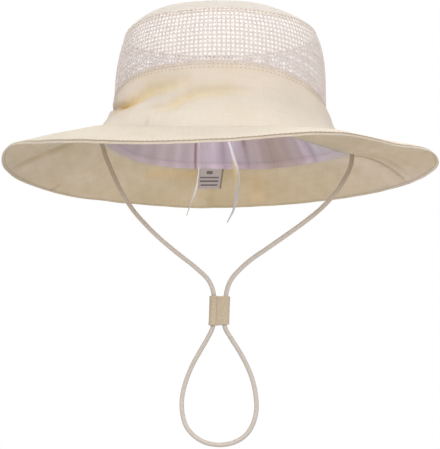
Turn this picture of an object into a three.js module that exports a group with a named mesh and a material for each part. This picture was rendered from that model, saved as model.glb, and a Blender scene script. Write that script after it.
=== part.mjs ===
// A baby sun hat: a soft cotton bucket hat with a net ventilation band, a wide brim, an inner sweatband
// and a cord chin strap with a slider. Units are millimetres. +Z is up, +X is the wearer's left when the
// hat faces -Y, and the origin is the middle of the head opening, level with the crown/brim seam at the
// front. Angles run round the hat in degrees: 0 is +X, 90 the back, 180 -X and 270 the front.

import * as THREE from "three";

// ---- Driving dimensions --------------------------------------------------------------------------

const SEAM_GAP = 0.3; // clearance between pieces that are sewn together on the real hat
const COTTON = 1.5; // crown cloth with its seam allowance
const NET = 1.2; // net band, strands and facing
const BRIM_CLOTH = 1.4; // two layers of cotton
const HEM = { width: 3.2, rise: 0.3, drop: 0.3 }; // rolled edge of the brim
const LINING_CLOTH = 1.2;
const LINING_CLEARANCE = 0.6; // between the sweatband and the crown wall
const LINING_HEIGHT = 27;

// Rings of the hat seen from above: the crown's foot, the seam under the net, the seam of the top panel
// and the brim's hem.
const FOOT = { centerX: 3, radiusX: 84.5, radiusY: 79.5 };
const NET_SEAM = { centerX: 0.3, radiusX: 69.5, radiusY: 69.8 };
const TOP_SEAM = { centerX: 0.4, radiusX: 63, radiusY: 62.4 };
const BRIM_HEM = { centerX: 0.2, radiusX: 141.9, radiusY: 138 };
const SEAM_ALLOWANCE = 3; // how far the brim reaches inwards under the crown wall
const HEAD_OPENING = {
  centerX: FOOT.centerX,
  radiusX: FOOT.radiusX - SEAM_ALLOWANCE,
  radiusY: FOOT.radiusY - SEAM_ALLOWANCE,
};

const CROWN_HEIGHT = 90.5; // top of the dome over the head opening
// Powers of the profiles: how flat the dome is on top, how quickly the crown wall spreads towards its
// foot, and how late the net band turns in. Each leans: it is power + lean at +X, power - lean at -X.
const DOME = { power: 4.2, lean: -0.8 };
const FLARE = { power: 1.9, lean: -0.4 };
const SHOULDER = { power: 3.1, lean: 1.05 };

// Heights of the seams and the hem round the slumped hat, and how far the brim puffs up between them.
const ROUND_THE_HAT = [
  { angle: 0, foot: -2.5, netSeam: 23, topSeam: 75.5, hem: -11.5, puff: 4.5 },
  { angle: 22.5, foot: -0.5, netSeam: 29, topSeam: 76, hem: -14.5, puff: 4.6 },
  { angle: 45, foot: -0.3, netSeam: 36, topSeam: 76.5, hem: -17.2, puff: 2 },
  { angle: 67.5, foot: -1.3, netSeam: 39, topSeam: 77, hem: -19.1, puff: 0.3 },
  { angle: 90, foot: -0.5, netSeam: 40, topSeam: 77, hem: -20.5, puff: -0.2 },
  { angle: 112.5, foot: -0.8, netSeam: 40, topSeam: 76.5, hem: -20, puff: -0.6 },
  { angle: 135, foot: 0.8, netSeam: 38.5, topSeam: 75.5, hem: -18.4, puff: -1.2 },
  { angle: 157.5, foot: 5.2, netSeam: 35.5, topSeam: 74, hem: -16.1, puff: 1.1 },
  { angle: 180, foot: 9, netSeam: 33.5, topSeam: 73.5, hem: -11.1, puff: 1.5 },
  { angle: 202.5, foot: 8, netSeam: 36.5, topSeam: 75, hem: -6.8, puff: 0.3 },
  { angle: 225, foot: 4.5, netSeam: 40.5, topSeam: 77.2, hem: -11.7, puff: 3.9 },
  { angle: 247.5, foot: 1, netSeam: 42, topSeam: 77.5, hem: -17.4, puff: 2.6 },
  { angle: 270, foot: 0, netSeam: 42.3, topSeam: 78.2, hem: -17.9, puff: 1.5 },
  { angle: 292.5, foot: -1.5, netSeam: 41, topSeam: 77.6, hem: -13, puff: 2.9 },
  { angle: 315, foot: -5.5, netSeam: 36, topSeam: 77, hem: -13.2, puff: 4.7 },
  { angle: 337.5, foot: -6.5, netSeam: 29, topSeam: 76.2, hem: -10.5, puff: 3.2 },
];

// Creases and bulges of the lower crown wall. Each is a path round the wall: how high up the wall it
// runs (0 at the foot, 1 at the net seam), how deep it is (negative bulges out) and how wide.
const CROWN_CREASES = {
  leftTuck: [
    { angle: 180, share: 0.52, depth: 0, width: 0.11 },
    { angle: 200, share: 0.46, depth: 6, width: 0.11 },
    { angle: 217, share: 0.46, depth: 5.5, width: 0.11 },
    { angle: 230, share: 0.58, depth: 4, width: 0.12 },
    { angle: 242, share: 0.7, depth: 2.5, width: 0.12 },
    { angle: 256, share: 0.76, depth: 0, width: 0.12 },
  ],
  leftBulge: [
    { angle: 160, share: 0.55, depth: 0, width: 0.25 },
    { angle: 184, share: 0.55, depth: -1.8, width: 0.25 },
    { angle: 204, share: 0.26, depth: -0.8, width: 0.16 },
    { angle: 222, share: 0.28, depth: -2, width: 0.16 },
    { angle: 246, share: 0.45, depth: 0, width: 0.16 },
  ],
  frontRipple: [
    { angle: 236, share: 0.44, depth: 0, width: 0.1 },
    { angle: 250, share: 0.48, depth: 1.6, width: 0.1 },
    { angle: 268, share: 0.54, depth: 1.4, width: 0.1 },
    { angle: 288, share: 0.56, depth: 0, width: 0.1 },
  ],
  rightBulge: [
    { angle: 322, share: 0.4, depth: 0, width: 0.28 },
    { angle: 350, share: 0.4, depth: -2, width: 0.28 },
    { angle: 378, share: 0.4, depth: -2, width: 0.28 },
    { angle: 400, share: 0.4, depth: 0, width: 0.28 },
  ],
};

// Gathers of the sweatband at the centre back: where each ridge stands, how far and how wide.
const LINING_GATHERS = [
  { angle: 108, height: 1.4, width: 3.5 },
  { angle: 98, height: 1.8, width: 3.2 },
  { angle: 88, height: 2, width: 3 },
  { angle: 79, height: 1.6, width: 3 },
  { angle: 43, height: 1.6, width: 4 },
];

const NET_COLUMNS = 40;
const NET_ROWS = 3;
const NET_STRAND = 2.6; // width of the upright bars between the gaps
const NET_FACING = 0.09; // seam strip above and below the gaps, as a share of the band's height
const NET_BAR = 0.08; // level bar between two rows of gaps, as a share of the band's height

const LABEL = { fromAngle: 90, toAngle: 103, length: 15.5, thickness: 0.6, stepIn: 0.5, curl: 1.6 };

const CORD_RADIUS = 1.5;
const CORD_SIDES = 8;
const CORD_STEPS = 76;
const SLIDER = {
  width: 13.2,
  depth: 5.4,
  height: 19,
  channelSpacing: 7.9,
  channelRadius: 1.85,
  center: { x: -0.3, z: -106.6 },
  lean: 2, // degrees, foot towards -X
};

// The chin strap from the -X side of the head opening, down through the slider, round the loop, up
// through the slider again and to the +X side.
const CORD_ROUTE = [
  [-78.9, 0, 6.6],
  [-77, -0.5, 1.5],
  [-74.5, -1, -6.3],
  [-70.3, -1.5, -16.4],
  [-64.3, -2, -28.8],
  [-56.8, -2, -40.7],
  [-48.2, -2, -50.6],
  [-39, -1.5, -59.6],
  [-27.9, -1, -68.9],
  [-15.6, -0.5, -78.6],
  [-7.2, 0, -87],
  [-3.92, 0, -96.2],
  [-4.25, 0, -106.5],
  [-4.62, 0, -117],
  [-7.6, 0.5, -123.6],
  [-12.2, 1.5, -131.6],
  [-17.6, 2.5, -141.2],
  [-22, 3, -152],
  [-24.4, 3, -162.6],
  [-24.3, 2.5, -171.5],
  [-21.9, 1.5, -180.2],
  [-16.9, 0.5, -186.4],
  [-9.6, -0.5, -190.8],
  [0.4, -1, -192.4],
  [10, -1.5, -190.4],
  [17, -2, -185.7],
  [21.3, -2.5, -178.8],
  [23.4, -2.5, -170.4],
  [23.1, -2.5, -161.4],
  [21.2, -2, -151.7],
  [17.5, -1.5, -142],
  [12.4, -1, -132.4],
  [6.8, -0.5, -123.6],
  [3.28, 0, -117],
  [3.65, 0, -106.5],
  [4, 0, -96.2],
  [7.4, 0, -86.3],
  [18.4, -0.5, -74.8],
  [31.4, -1, -65.6],
  [42.6, -1.5, -57.8],
  [54.3, -2, -49.4],
  [65, -2, -40.8],
  [74, -1.5, -31.4],
  [81, -1, -21.4],
  [85.8, -0.5, -11.4],
  [86.8, 0, -4.4],
];

// The two tails of the size adjuster's ribbon, which leave the sweatband at the centre back.
const RIBBON_TAILS = {
  ribbon_tail_left: {
    width: 2.2,
    route: [
      [-15.2, 72, 1.5],
      [-15.9, 71.8, -7],
      [-17.6, 71.2, -18],
      [-21, 70.8, -28.5],
      [-23.4, 70.6, -36],
    ],
  },
  ribbon_tail_right: {
    width: 3.4,
    route: [
      [5.4, 67.5, 18.5],
      [8.8, 68.8, 9],
      [11.3, 69.5, -2],
      [12.4, 69.8, -12],
      [11.9, 69.8, -22],
      [9.6, 69.6, -32],
      [5.2, 69.4, -41],
    ],
  },
};
const RIBBON_THICKNESS = 0.5;
const RIBBON_TIP_SHARE = 0.35; // width at the tail's tip, as a share of its full width

// ---- Helpers -------------------------------------------------------------------------------------

const radians = THREE.MathUtils.degToRad;

function bell(distance, width) {
  return Math.exp(-((distance / width) ** 2));
}

// Smooth periodic value of one column of ROUND_THE_HAT.
function roundTheHat(column, angle) {
  const count = ROUND_THE_HAT.length;
  const position = (THREE.MathUtils.euclideanModulo(angle, 360) / 360) * count;
  const row = Math.floor(position);
  const t = position - row;
  const [before, start, end, after] = [-1, 0, 1, 2].map(
    (step) => ROUND_THE_HAT[(row + step + count) % count][column],
  );
  const startSlope = (end - before) / 2;
  const endSlope = (after - start) / 2;
  return (
    (2 * t ** 3 - 3 * t ** 2 + 1) * start +
    (t ** 3 - 2 * t ** 2 + t) * startSlope +
    (3 * t ** 2 - 2 * t ** 3) * end +
    (t ** 3 - t ** 2) * endSlope
  );
}

// A crease's row at an angle, blended smoothly between its neighbours, or null beyond its ends.
function creaseAt(path, angle) {
  const last = path.length - 1;
  const turned = angle < path[0].angle ? angle + 360 : angle;
  if (turned < path[0].angle || turned > path[last].angle) {
    return null;
  }
  const next = Math.max(1, path.findIndex((row) => row.angle >= turned));
  const [from, to] = [path[next - 1], path[next]];
  const t = THREE.MathUtils.smoothstep(turned, from.angle, to.angle);
  return {
    share: THREE.MathUtils.lerp(from.share, to.share, t),
    depth: THREE.MathUtils.lerp(from.depth, to.depth, t),
    width: THREE.MathUtils.lerp(from.width, to.width, t),
  };
}

function creaseDepth(angle, share) {
  return Object.values(CROWN_CREASES)
    .map((path) => creaseAt(path, angle))
    .filter(Boolean)
    .reduce((sum, crease) => sum + crease.depth * bell(share - crease.share, crease.width), 0);
}

// A point of an elliptic ring, seen from above, moved towards the hat's axis by `inwards`.
function ringPoint(ring, angle, inwards = 0) {
  return new THREE.Vector2(
    ring.centerX + (ring.radiusX - inwards) * Math.cos(radians(angle)),
    (ring.radiusY - inwards) * Math.sin(radians(angle)),
  );
}

function evenSteps(count, from = 0, to = 1) {
  return Array.from({ length: count }, (_, i) => from + ((to - from) * i) / (count - 1));
}

function anglesRound(count) {
  return Array.from({ length: count }, (_, i) => (360 * i) / count);
}

function asGeometry(positions, index) {
  const geometry = new THREE.BufferGeometry();
  geometry.setAttribute("position", new THREE.Float32BufferAttribute(positions, 3));
  geometry.setIndex(index);
  geometry.computeVertexNormals();
  return geometry;
}

// A closed shell over a grid of across x along. surface(across, along, depth) gives the outer face at
// depth 0 and the inner face at the cloth's thickness. It may close on itself round `across`, end in one
// point at the last `along`, and have gaps cut through where isGap(column, row) is true.
function shellGeometry({ surface, thickness, across, along, round = true, pole = false, isGap = () => false }) {
  const columns = across.length;
  const rows = along.length;
  const cellColumns = round ? columns : columns - 1;
  const positions = [];
  for (const depth of [0, thickness]) {
    for (const a of across) {
      for (const s of along) {
        positions.push(...surface(a, s, depth).toArray());
      }
    }
  }
  const index = [];
  const vertex = (side, column, row) => {
    const wrapped = pole && row === rows - 1 ? 0 : column % columns;
    return (side * columns + wrapped) * rows + row;
  };
  const triangle = (a, b, c) => {
    if (a !== b && b !== c && c !== a) {
      index.push(a, b, c);
    }
  };
  const quad = (a, b, c, d) => {
    triangle(a, b, c);
    triangle(a, c, d);
  };
  const isCloth = (column, row) => {
    const wrapped = round ? (column + cellColumns) % cellColumns : column;
    const inside = wrapped >= 0 && wrapped < cellColumns && row >= 0 && row < rows - 1;
    return inside && !isGap(wrapped, row);
  };
  for (let i = 0; i < cellColumns; i += 1) {
    for (let j = 0; j < rows - 1; j += 1) {
      if (!isCloth(i, j)) {
        continue;
      }
      const [outer, inner] = [0, 1].map((side) => [
        vertex(side, i, j),
        vertex(side, i + 1, j),
        vertex(side, i + 1, j + 1),
        vertex(side, i, j + 1),
      ]);
      quad(...outer);
      quad(...[...inner].reverse());
      const neighbours = [isCloth(i, j - 1), isCloth(i + 1, j), isCloth(i, j + 1), isCloth(i - 1, j)];
      neighbours.forEach((cloth, edge) => {
        const next = (edge + 1) % 4;
        if (!cloth) {
          quad(outer[next], outer[edge], inner[edge], inner[next]);
        }
      });
    }
  }
  return asGeometry(positions, index);
}

// ---- Surfaces of the hat -------------------------------------------------------------------------

function leaning({ power, lean }, angle) {
  return power + lean * Math.cos(radians(angle));
}

// Lower crown wall without its creases: share 0 is the foot, 1 the net seam.
function plainCrownWall(angle, share, depth) {
  const spread = 1 - Math.max(0, 1 - share) ** leaning(FLARE, angle);
  const plan = ringPoint(FOOT, angle, depth).lerp(ringPoint(NET_SEAM, angle, depth), spread);
  const foot = roundTheHat("foot", angle) + SEAM_GAP;
  const height = THREE.MathUtils.lerp(foot, roundTheHat("netSeam", angle), share);
  return new THREE.Vector3(plan.x, plan.y, height);
}

function crownWall(angle, share, depth) {
  return plainCrownWall(angle, share, depth + creaseDepth(angle, share));
}

// Net band: share 0 is the seam with the lower wall, 1 the seam with the top panel.
function netWall(angle, share, depth) {
  const turn = share ** leaning(SHOULDER, angle);
  const plan = ringPoint(NET_SEAM, angle, depth).lerp(ringPoint(TOP_SEAM, angle, depth), turn);
  const low = roundTheHat("netSeam", angle) + SEAM_GAP;
  const high = roundTheHat("topSeam", angle) - COTTON - SEAM_GAP;
  return new THREE.Vector3(plan.x, plan.y, THREE.MathUtils.lerp(low, high, share));
}

// Domed top panel: share 0 is its edge, 1 its middle.
function topPanel(angle, share, depth) {
  const reach = 1 - share;
  const edge = ringPoint(TOP_SEAM, angle);
  const height = THREE.MathUtils.lerp(
    CROWN_HEIGHT,
    roundTheHat("topSeam", angle),
    reach ** leaning(DOME, angle),
  );
  return new THREE.Vector3(edge.x * reach, edge.y * reach, height - depth);
}

// Brim: share 0 is the hem, 1 the edge of the head opening. It is level where the crown wall stands.
const BRIM_WIDTH = BRIM_HEM.radiusX - HEAD_OPENING.radiusX;
const SEAT_SHARE = 1 - (SEAM_ALLOWANCE + 1) / BRIM_WIDTH;
const HEM_SHARE = HEM.width / BRIM_WIDTH;

function brimSurface(angle, share, depth) {
  const plan = ringPoint(BRIM_HEM, angle).lerp(ringPoint(HEAD_OPENING, angle), share);
  const climb = Math.min(1, share / SEAT_SHARE);
  const slope = THREE.MathUtils.lerp(roundTheHat("hem", angle), roundTheHat("foot", angle), climb);
  const puff = roundTheHat("puff", angle) * 4 * climb * (1 - climb);
  const inHem = share <= HEM_SHARE;
  const rolled = inHem ? (depth > 0 ? -HEM.drop : HEM.rise) : 0;
  return new THREE.Vector3(plan.x, plan.y, slope + puff + rolled - depth);
}

// Sweatband: share 0 is the head opening, 1 its upper edge inside the crown.
function liningWall(angle, share, depth) {
  const foot = roundTheHat("foot", angle);
  const wallHeight = roundTheHat("netSeam", angle) - foot;
  const onWall = (share * LINING_HEIGHT) / wallHeight;
  const creases = Object.values(CROWN_CREASES).map((path) => creaseAt(path, angle)?.depth ?? 0);
  const pushedIn = Math.max(0, ...creases) * Math.min(1, share * 2);
  const gathers = LINING_GATHERS.reduce(
    (sum, gather) => sum + gather.height * bell(angle - gather.angle, gather.width),
    0,
  );
  const inwards = COTTON + LINING_CLEARANCE + pushedIn + gathers * (0.35 + 0.65 * share) + depth;
  return plainCrownWall(angle, onWall, inwards);
}

// ---- Pieces --------------------------------------------------------------------------------------

const finish = {
  cotton: { color: 0xe9dcc6, roughness: 0.88 },
  net: { color: 0xe6d9d2, roughness: 0.8 },
  lining: { color: 0xb9a6b2, roughness: 0.75 },
  tag: { color: 0xf1ecea, roughness: 0.6 },
  ribbon: { color: 0xece7ec, roughness: 0.35 },
  cord: { color: 0xc9b59b, roughness: 0.85 },
  slider: { color: 0xc8b395, roughness: 0.7 },
};

function piece(name, geometry, { color, roughness }) {
  const material = new THREE.MeshStandardMaterial({ color, roughness, metalness: 0 });
  const mesh = new THREE.Mesh(geometry, material);
  mesh.name = name;
  return mesh;
}

function crownTop() {
  const geometry = shellGeometry({
    surface: topPanel,
    thickness: COTTON,
    across: anglesRound(44),
    along: [0, 0.06, 0.15, 0.3, 0.55, 1],
    pole: true,
  });
  return piece("crown_top", geometry, finish.cotton);
}

// The net's gaps lie in columns between strands, with a facing strip along both seams.
function meshBand() {
  const pitch = 360 / NET_COLUMNS;
  const strand = THREE.MathUtils.radToDeg(NET_STRAND / NET_SEAM.radiusX);
  const across = Array.from({ length: NET_COLUMNS }, (_, i) => [pitch * i + strand, pitch * (i + 1)]).flat();
  const gap = (1 - 2 * NET_FACING - (NET_ROWS - 1) * NET_BAR) / NET_ROWS;
  const gaps = Array.from({ length: NET_ROWS }, (_, i) => NET_FACING + i * (gap + NET_BAR));
  const along = [0, ...gaps.flatMap((start) => [start, start + gap]), 1];
  const geometry = shellGeometry({
    surface: netWall,
    thickness: NET,
    across,
    along,
    isGap: (column, row) => column % 2 === 0 && row % 2 === 1,
  });
  return piece("mesh_band", geometry, finish.net);
}

function crownBand() {
  const geometry = shellGeometry({
    surface: crownWall,
    thickness: COTTON,
    across: anglesRound(64),
    along: evenSteps(10),
  });
  return piece("crown_band", geometry, finish.cotton);
}

function brim() {
  const geometry = shellGeometry({
    surface: brimSurface,
    thickness: BRIM_CLOTH,
    across: anglesRound(64),
    along: [0, HEM_SHARE, HEM_SHARE * 1.4, 0.28, 0.52, 0.76, SEAT_SHARE, 1],
  });
  return piece("brim", geometry, finish.cotton);
}

function sweatband() {
  const geometry = shellGeometry({
    surface: liningWall,
    thickness: LINING_CLOTH,
    across: anglesRound(72),
    along: evenSteps(5),
  });
  return piece("sweatband", geometry, finish.lining);
}

// A small tag sewn in at the back of the head opening; it hangs free and its far corner curls.
function sizeLabel() {
  const hang = (angle, share, depth) => {
    const plan = ringPoint(HEAD_OPENING, angle, LABEL.stepIn + depth);
    const across = (LABEL.toAngle - angle) / (LABEL.toAngle - LABEL.fromAngle);
    const curl = LABEL.curl * across ** 2 * (1 - share) ** 2;
    const top = roundTheHat("foot", angle) - SEAM_GAP;
    return new THREE.Vector3(plan.x, plan.y - curl, top - LABEL.length * (1 - share));
  };
  const geometry = shellGeometry({
    surface: hang,
    thickness: LABEL.thickness,
    across: evenSteps(5, LABEL.fromAngle, LABEL.toAngle),
    along: evenSteps(4),
    round: false,
  });
  return piece("size_label", geometry, finish.tag);
}

function ribbonTail(name, { width, route }) {
  const path = new THREE.CatmullRomCurve3(route.map((point) => new THREE.Vector3(...point)));
  const strip = (across, along, depth) => {
    const half = (width / 2) * THREE.MathUtils.lerp(RIBBON_TIP_SHARE, 1, along);
    return path.getPointAt(1 - along).add(new THREE.Vector3(across * half, depth, 0));
  };
  const geometry = shellGeometry({
    surface: strip,
    thickness: RIBBON_THICKNESS,
    across: [-1, 0, 1],
    along: evenSteps(11),
    round: false,
  });
  return piece(name, geometry, finish.ribbon);
}

function chinCord() {
  const corners = anglesRound(CORD_SIDES).map((angle) =>
    new THREE.Vector2(CORD_RADIUS, 0).rotateAround(new THREE.Vector2(), radians(angle)),
  );
  const path = new THREE.CatmullRomCurve3(CORD_ROUTE.map((point) => new THREE.Vector3(...point)));
  const geometry = new THREE.ExtrudeGeometry(new THREE.Shape(corners), {
    steps: CORD_STEPS,
    extrudePath: path,
  });
  return piece("chin_cord", geometry, finish.cord);
}

// A flat sleeve with a channel for each strand of the cord.
function cordSlider() {
  const corner = SLIDER.depth / 2;
  const straight = SLIDER.width / 2 - corner;
  const outline = new THREE.Shape();
  outline.moveTo(-straight, -corner);
  outline.lineTo(straight, -corner);
  outline.absarc(straight, 0, corner, -Math.PI / 2, Math.PI / 2);
  outline.lineTo(-straight, corner);
  outline.absarc(-straight, 0, corner, Math.PI / 2, (3 * Math.PI) / 2);
  for (const side of [-1, 1]) {
    const channel = new THREE.Path();
    channel.absarc((side * SLIDER.channelSpacing) / 2, 0, SLIDER.channelRadius, 0, 2 * Math.PI, true);
    outline.holes.push(channel);
  }
  const geometry = new THREE.ExtrudeGeometry(outline, {
    depth: SLIDER.height,
    curveSegments: 6,
    bevelEnabled: false,
  });
  geometry.translate(0, 0, -SLIDER.height / 2);
  const mesh = piece("cord_slider", geometry, finish.slider);
  mesh.position.set(SLIDER.center.x, 0, SLIDER.center.z);
  mesh.rotation.y = radians(SLIDER.lean);
  return mesh;
}

// ---- Assembly ------------------------------------------------------------------------------------

const crown = new THREE.Group();
crown.add(crownTop(), meshBand(), crownBand());

const inside = new THREE.Group();
inside.add(sweatband(), sizeLabel());
for (const [name, tail] of Object.entries(RIBBON_TAILS)) {
  inside.add(ribbonTail(name, tail));
}

const chinStrap = new THREE.Group();
chinStrap.add(chinCord(), cordSlider());

const hat = new THREE.Group();
hat.add(crown, brim(), inside, chinStrap);

export default hat;
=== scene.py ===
"""A baby sun hat in cloth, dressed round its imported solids.

A cream cotton crown with a net band, a wide brim, a lilac sweatband with a tag and ribbon tails, and a
chin cord with a folded slider. Tables are in millimetres, as on a sewing pattern, and MM turns them into
metres. Angles run round the hat in degrees: 0 is +X, 90 the back (+Y), 180 -X and 270 the front.
"""

import math

import bpy
import numpy as np
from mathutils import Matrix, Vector


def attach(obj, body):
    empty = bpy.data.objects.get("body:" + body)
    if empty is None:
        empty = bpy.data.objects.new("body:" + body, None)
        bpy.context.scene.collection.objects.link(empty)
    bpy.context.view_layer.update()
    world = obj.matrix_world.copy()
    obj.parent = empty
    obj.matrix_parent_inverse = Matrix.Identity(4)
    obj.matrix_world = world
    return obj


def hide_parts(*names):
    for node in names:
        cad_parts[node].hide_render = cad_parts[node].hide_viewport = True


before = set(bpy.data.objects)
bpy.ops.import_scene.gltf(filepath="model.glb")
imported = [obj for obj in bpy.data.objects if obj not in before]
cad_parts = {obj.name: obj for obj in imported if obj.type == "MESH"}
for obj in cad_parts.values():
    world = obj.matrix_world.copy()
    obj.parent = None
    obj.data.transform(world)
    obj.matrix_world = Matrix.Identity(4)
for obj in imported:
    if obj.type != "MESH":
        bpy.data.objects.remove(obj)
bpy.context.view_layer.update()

MM = 0.001

# ---- The hat's form, in millimetres

FOOT = {"center_x": 3, "radius_x": 84.5, "radius_y": 79.5}
NET_SEAM = {"center_x": 0.3, "radius_x": 69.5, "radius_y": 69.8}
TOP_SEAM = {"center_x": 0.4, "radius_x": 63, "radius_y": 62.4}
BRIM_HEM = {"center_x": 0.2, "radius_x": 141.9, "radius_y": 138}
SEAM_ALLOWANCE = 3
HEAD_OPENING = {
    **FOOT,
    "radius_x": FOOT["radius_x"] - SEAM_ALLOWANCE,
    "radius_y": FOOT["radius_y"] - SEAM_ALLOWANCE,
}
CROWN_HEIGHT = 90.5
# Powers of the crown's curves, and how much more each is at +X and less at -X.
DOME_FULLNESS = (4.2, -0.8)
WALL_FLARE = (1.9, -0.4)
NET_SHOULDER = (3.1, 1.05)
LINING_HEIGHT = 27
LINING_INSET = 2.1  # from the crown wall's outer face to the sweatband

DOME_MIDDLE = (0.3, 0)
SEAM_GAP = 0.3  # between pieces that are sewn together
NOISE_WAVES = 9

COTTON = 1.0  # thickness of each cloth
NET = 0.55
BRIM_CLOTH = 1.3
LINING_CLOTH = 0.7

# Heights of the seams and the hem, and how far the brim puffs up between them.
HAT_COLUMNS = ("angle", "foot", "net_seam", "top_seam", "hem", "puff")
ROUND_THE_HAT = np.array((
    (0, -2.5, 23, 75.5, -11.5, 4.5),
    (22.5, -0.5, 29, 76, -14.5, 4.6),
    (45, -0.3, 36, 76.5, -17.2, 2),
    (67.5, -1.3, 39, 77, -19.1, 0.3),
    (90, -0.5, 40, 77, -20.5, -0.2),
    (112.5, -0.8, 40, 76.5, -20, -0.6),
    (135, 0.8, 38.5, 75.5, -18.4, -1.2),
    (157.5, 5.2, 35.5, 74, -16.1, 1.1),
    (180, 9, 33.5, 73.5, -11.1, 1.5),
    (202.5, 8, 36.5, 75, -6.8, 0.3),
    (225, 4.5, 40.5, 77.2, -11.7, 3.9),
    (247.5, 1, 42, 77.5, -17.4, 2.6),
    (270, 0, 42.3, 78.2, -17.9, 1.5),
    (292.5, -1.5, 41, 77.6, -13, 2.9),
    (315, -5.5, 36, 77, -13.2, 4.7),
    (337.5, -6.5, 29, 76.2, -10.5, 3.2),
))

# Creases and bulges of the lower crown wall: how high up the wall each runs, how deep it is (negative
# bulges out), and how far it reaches below and above its deepest line: (angle, share, depth, below, above).
CROWN_CREASES = {
    "left_tuck": (
        (176, 0.62, 0, 0.05, 0.12), (190, 0.56, 4.5, 0.035, 0.12), (207, 0.41, 6.5, 0.03, 0.13),
        (217, 0.4, 6, 0.03, 0.15), (224, 0.48, 4.6, 0.07, 0.16), (230, 0.555, 4, 0.1, 0.16),
        (236, 0.6, 3.4, 0.1, 0.14), (243, 0.65, 2.8, 0.1, 0.12), (250, 0.69, 1.8, 0.09, 0.1),
        (258, 0.73, 0, 0.09, 0.1),
    ),
    "left_bulge": (
        (160, 0.55, 0, 0.25, 0.25), (184, 0.64, -1.3, 0.12, 0.2), (204, 0.3, -0.3, 0.16, 0.16),
        (222, 0.3, -2, 0.14, 0.12), (236, 0.42, -1.2, 0.14, 0.12), (250, 0.5, 0, 0.14, 0.14),
    ),
    "front_ripple": (
        (230, 0.24, 0, 0.06, 0.06), (240, 0.3, 1.6, 0.07, 0.08), (247, 0.36, 2.6, 0.08, 0.1),
        (253, 0.46, 3, 0.08, 0.11), (260, 0.52, 2.8, 0.08, 0.1), (268, 0.54, 2.1, 0.08, 0.09),
        (278, 0.565, 1.2, 0.07, 0.07), (290, 0.57, 0, 0.07, 0.07),
    ),
    "right_bulge": (
        (322, 0.7, 0, 0.2, 0.2), (350, 0.8, -1.3, 0.2, 0.14), (378, 0.8, -1.3, 0.2, 0.14),
        (400, 0.7, 0, 0.2, 0.2),
    ),
}

# Ridges, and grooves of negative height, in the gathered sweatband: (angle, height, width in degrees).
LINING_GATHERS = (
    (136, 0.9, 3.5), (129, -0.5, 1.5), (123, 1.1, 2.6), (114, 1.4, 2.2), (109, -0.6, 1.2),
    (104.6, -1.2, 0.55), (102.6, 1.2, 1.0), (95, 2.6, 2.6), (89.5, -1.3, 1.1), (84, 2.8, 2.6),
    (77.5, -1.7, 1.2), (70, 1.2, 2.4), (64, -0.6, 1.2), (57, 0.9, 3.0), (43, 1.8, 2.4),
    (38.5, -1.0, 1.1),
)


def stacked(*columns):
    return np.stack(columns, axis=-1)


def smooth(t):
    """Smoothstep of t, held between 0 and 1."""
    t = np.clip(t, 0, 1)
    return t * t * (3 - 2 * t)


def bell(distance, width):
    return np.exp(-((distance / width) ** 2))


def blend(start, end, t):
    return start + (end - start) * t


def edge_fall(t):
    """How far a round edge falls away: 1 at its rim, where t is 0, and nothing from t = 1 on."""
    return 1 - np.sqrt(1 - (1 - np.clip(t, 0, 1)) ** 2)


def leaning(curve, angle):
    """The power of one of the crown's curves at an angle."""
    return curve[0] + curve[1] * np.cos(np.radians(angle))


def hermite(t, start, end, start_slope, end_slope):
    """The cubic from start to end that has these slopes at its ends, at t of 0 to 1."""
    return (
        (2 * t**3 - 3 * t**2 + 1) * start
        + (t**3 - 2 * t**2 + t) * start_slope
        + (3 * t**2 - 2 * t**3) * end
        + (t**3 - t**2) * end_slope
    )


def round_the_hat(column, angle):
    """Smooth periodic value of one column of ROUND_THE_HAT."""
    values = ROUND_THE_HAT[:, HAT_COLUMNS.index(column)]
    count = len(values)
    position = np.mod(angle, 360) / 360 * count
    row = np.floor(position).astype(int)
    before, start, end, after = (values[(row + step) % count] for step in (-1, 0, 1, 2))
    return hermite(position - row, start, end, (end - before) / 2, (after - start) / 2)


def along_path(path, angle):
    """A path's columns after the angle, blended smoothly between its rows. Its ends hold their values."""
    rows = np.array(path)
    turned = np.minimum(np.where(angle < rows[0, 0], angle + 360, angle), rows[-1, 0])
    step = np.clip(np.searchsorted(rows[:, 0], turned), 1, len(rows) - 1)
    before, after = rows[step - 1], rows[step]
    t = smooth((turned - before[..., 0]) / (after[..., 0] - before[..., 0]))
    return np.moveaxis(blend(before, after, t[..., None]), -1, 0)[1:]


def crease_depth(angle, share):
    """How far the crown's creases push its wall inwards."""
    total = 0
    for path in CROWN_CREASES.values():
        center, depth, below, above = along_path(path, angle)
        offset = share - center
        total = total + depth * bell(offset, np.where(offset < 0, below, above))
    return total


def soft_noise(points, wavelength, seed):
    """Smooth noise of about -1 to 1 at points in millimetres, the same on each run."""
    rng = np.random.default_rng(seed)
    total = np.zeros(points.shape[:-1])
    for _ in range(NOISE_WAVES):
        direction = rng.normal(size=3)
        direction /= np.linalg.norm(direction)
        pace = 2 * math.pi / (wavelength * rng.uniform(0.7, 1.6))
        total += np.sin(points @ direction * pace + rng.uniform(0, 2 * math.pi))
    return total / math.sqrt(NOISE_WAVES)


def ring_point(ring, angle, inwards=0):
    """x and y of an elliptic ring, moved towards the hat's axis."""
    turn = np.radians(angle)
    x = ring["center_x"] + (ring["radius_x"] - inwards) * np.cos(turn)
    y = (ring["radius_y"] - inwards) * np.sin(turn)
    return stacked(x, y)


def between(ring, other, angle, share, inwards=0):
    """x and y on the way from one ring to another."""
    return blend(ring_point(ring, angle, inwards), ring_point(other, angle, inwards), share[..., None])


def point(plan, height):
    height = np.broadcast_to(height, plan.shape[:-1])
    return np.concatenate([plan, height[..., None]], axis=-1)


def plain_crown_wall(angle, share, inwards):
    """Lower crown wall without its creases: share 0 is the foot, 1 the net seam."""
    spread = 1 - np.maximum(0, 1 - share) ** leaning(WALL_FLARE, angle)
    plan = between(FOOT, NET_SEAM, angle, spread, inwards)
    return point(plan, blend(round_the_hat("foot", angle), round_the_hat("net_seam", angle), share))


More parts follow.
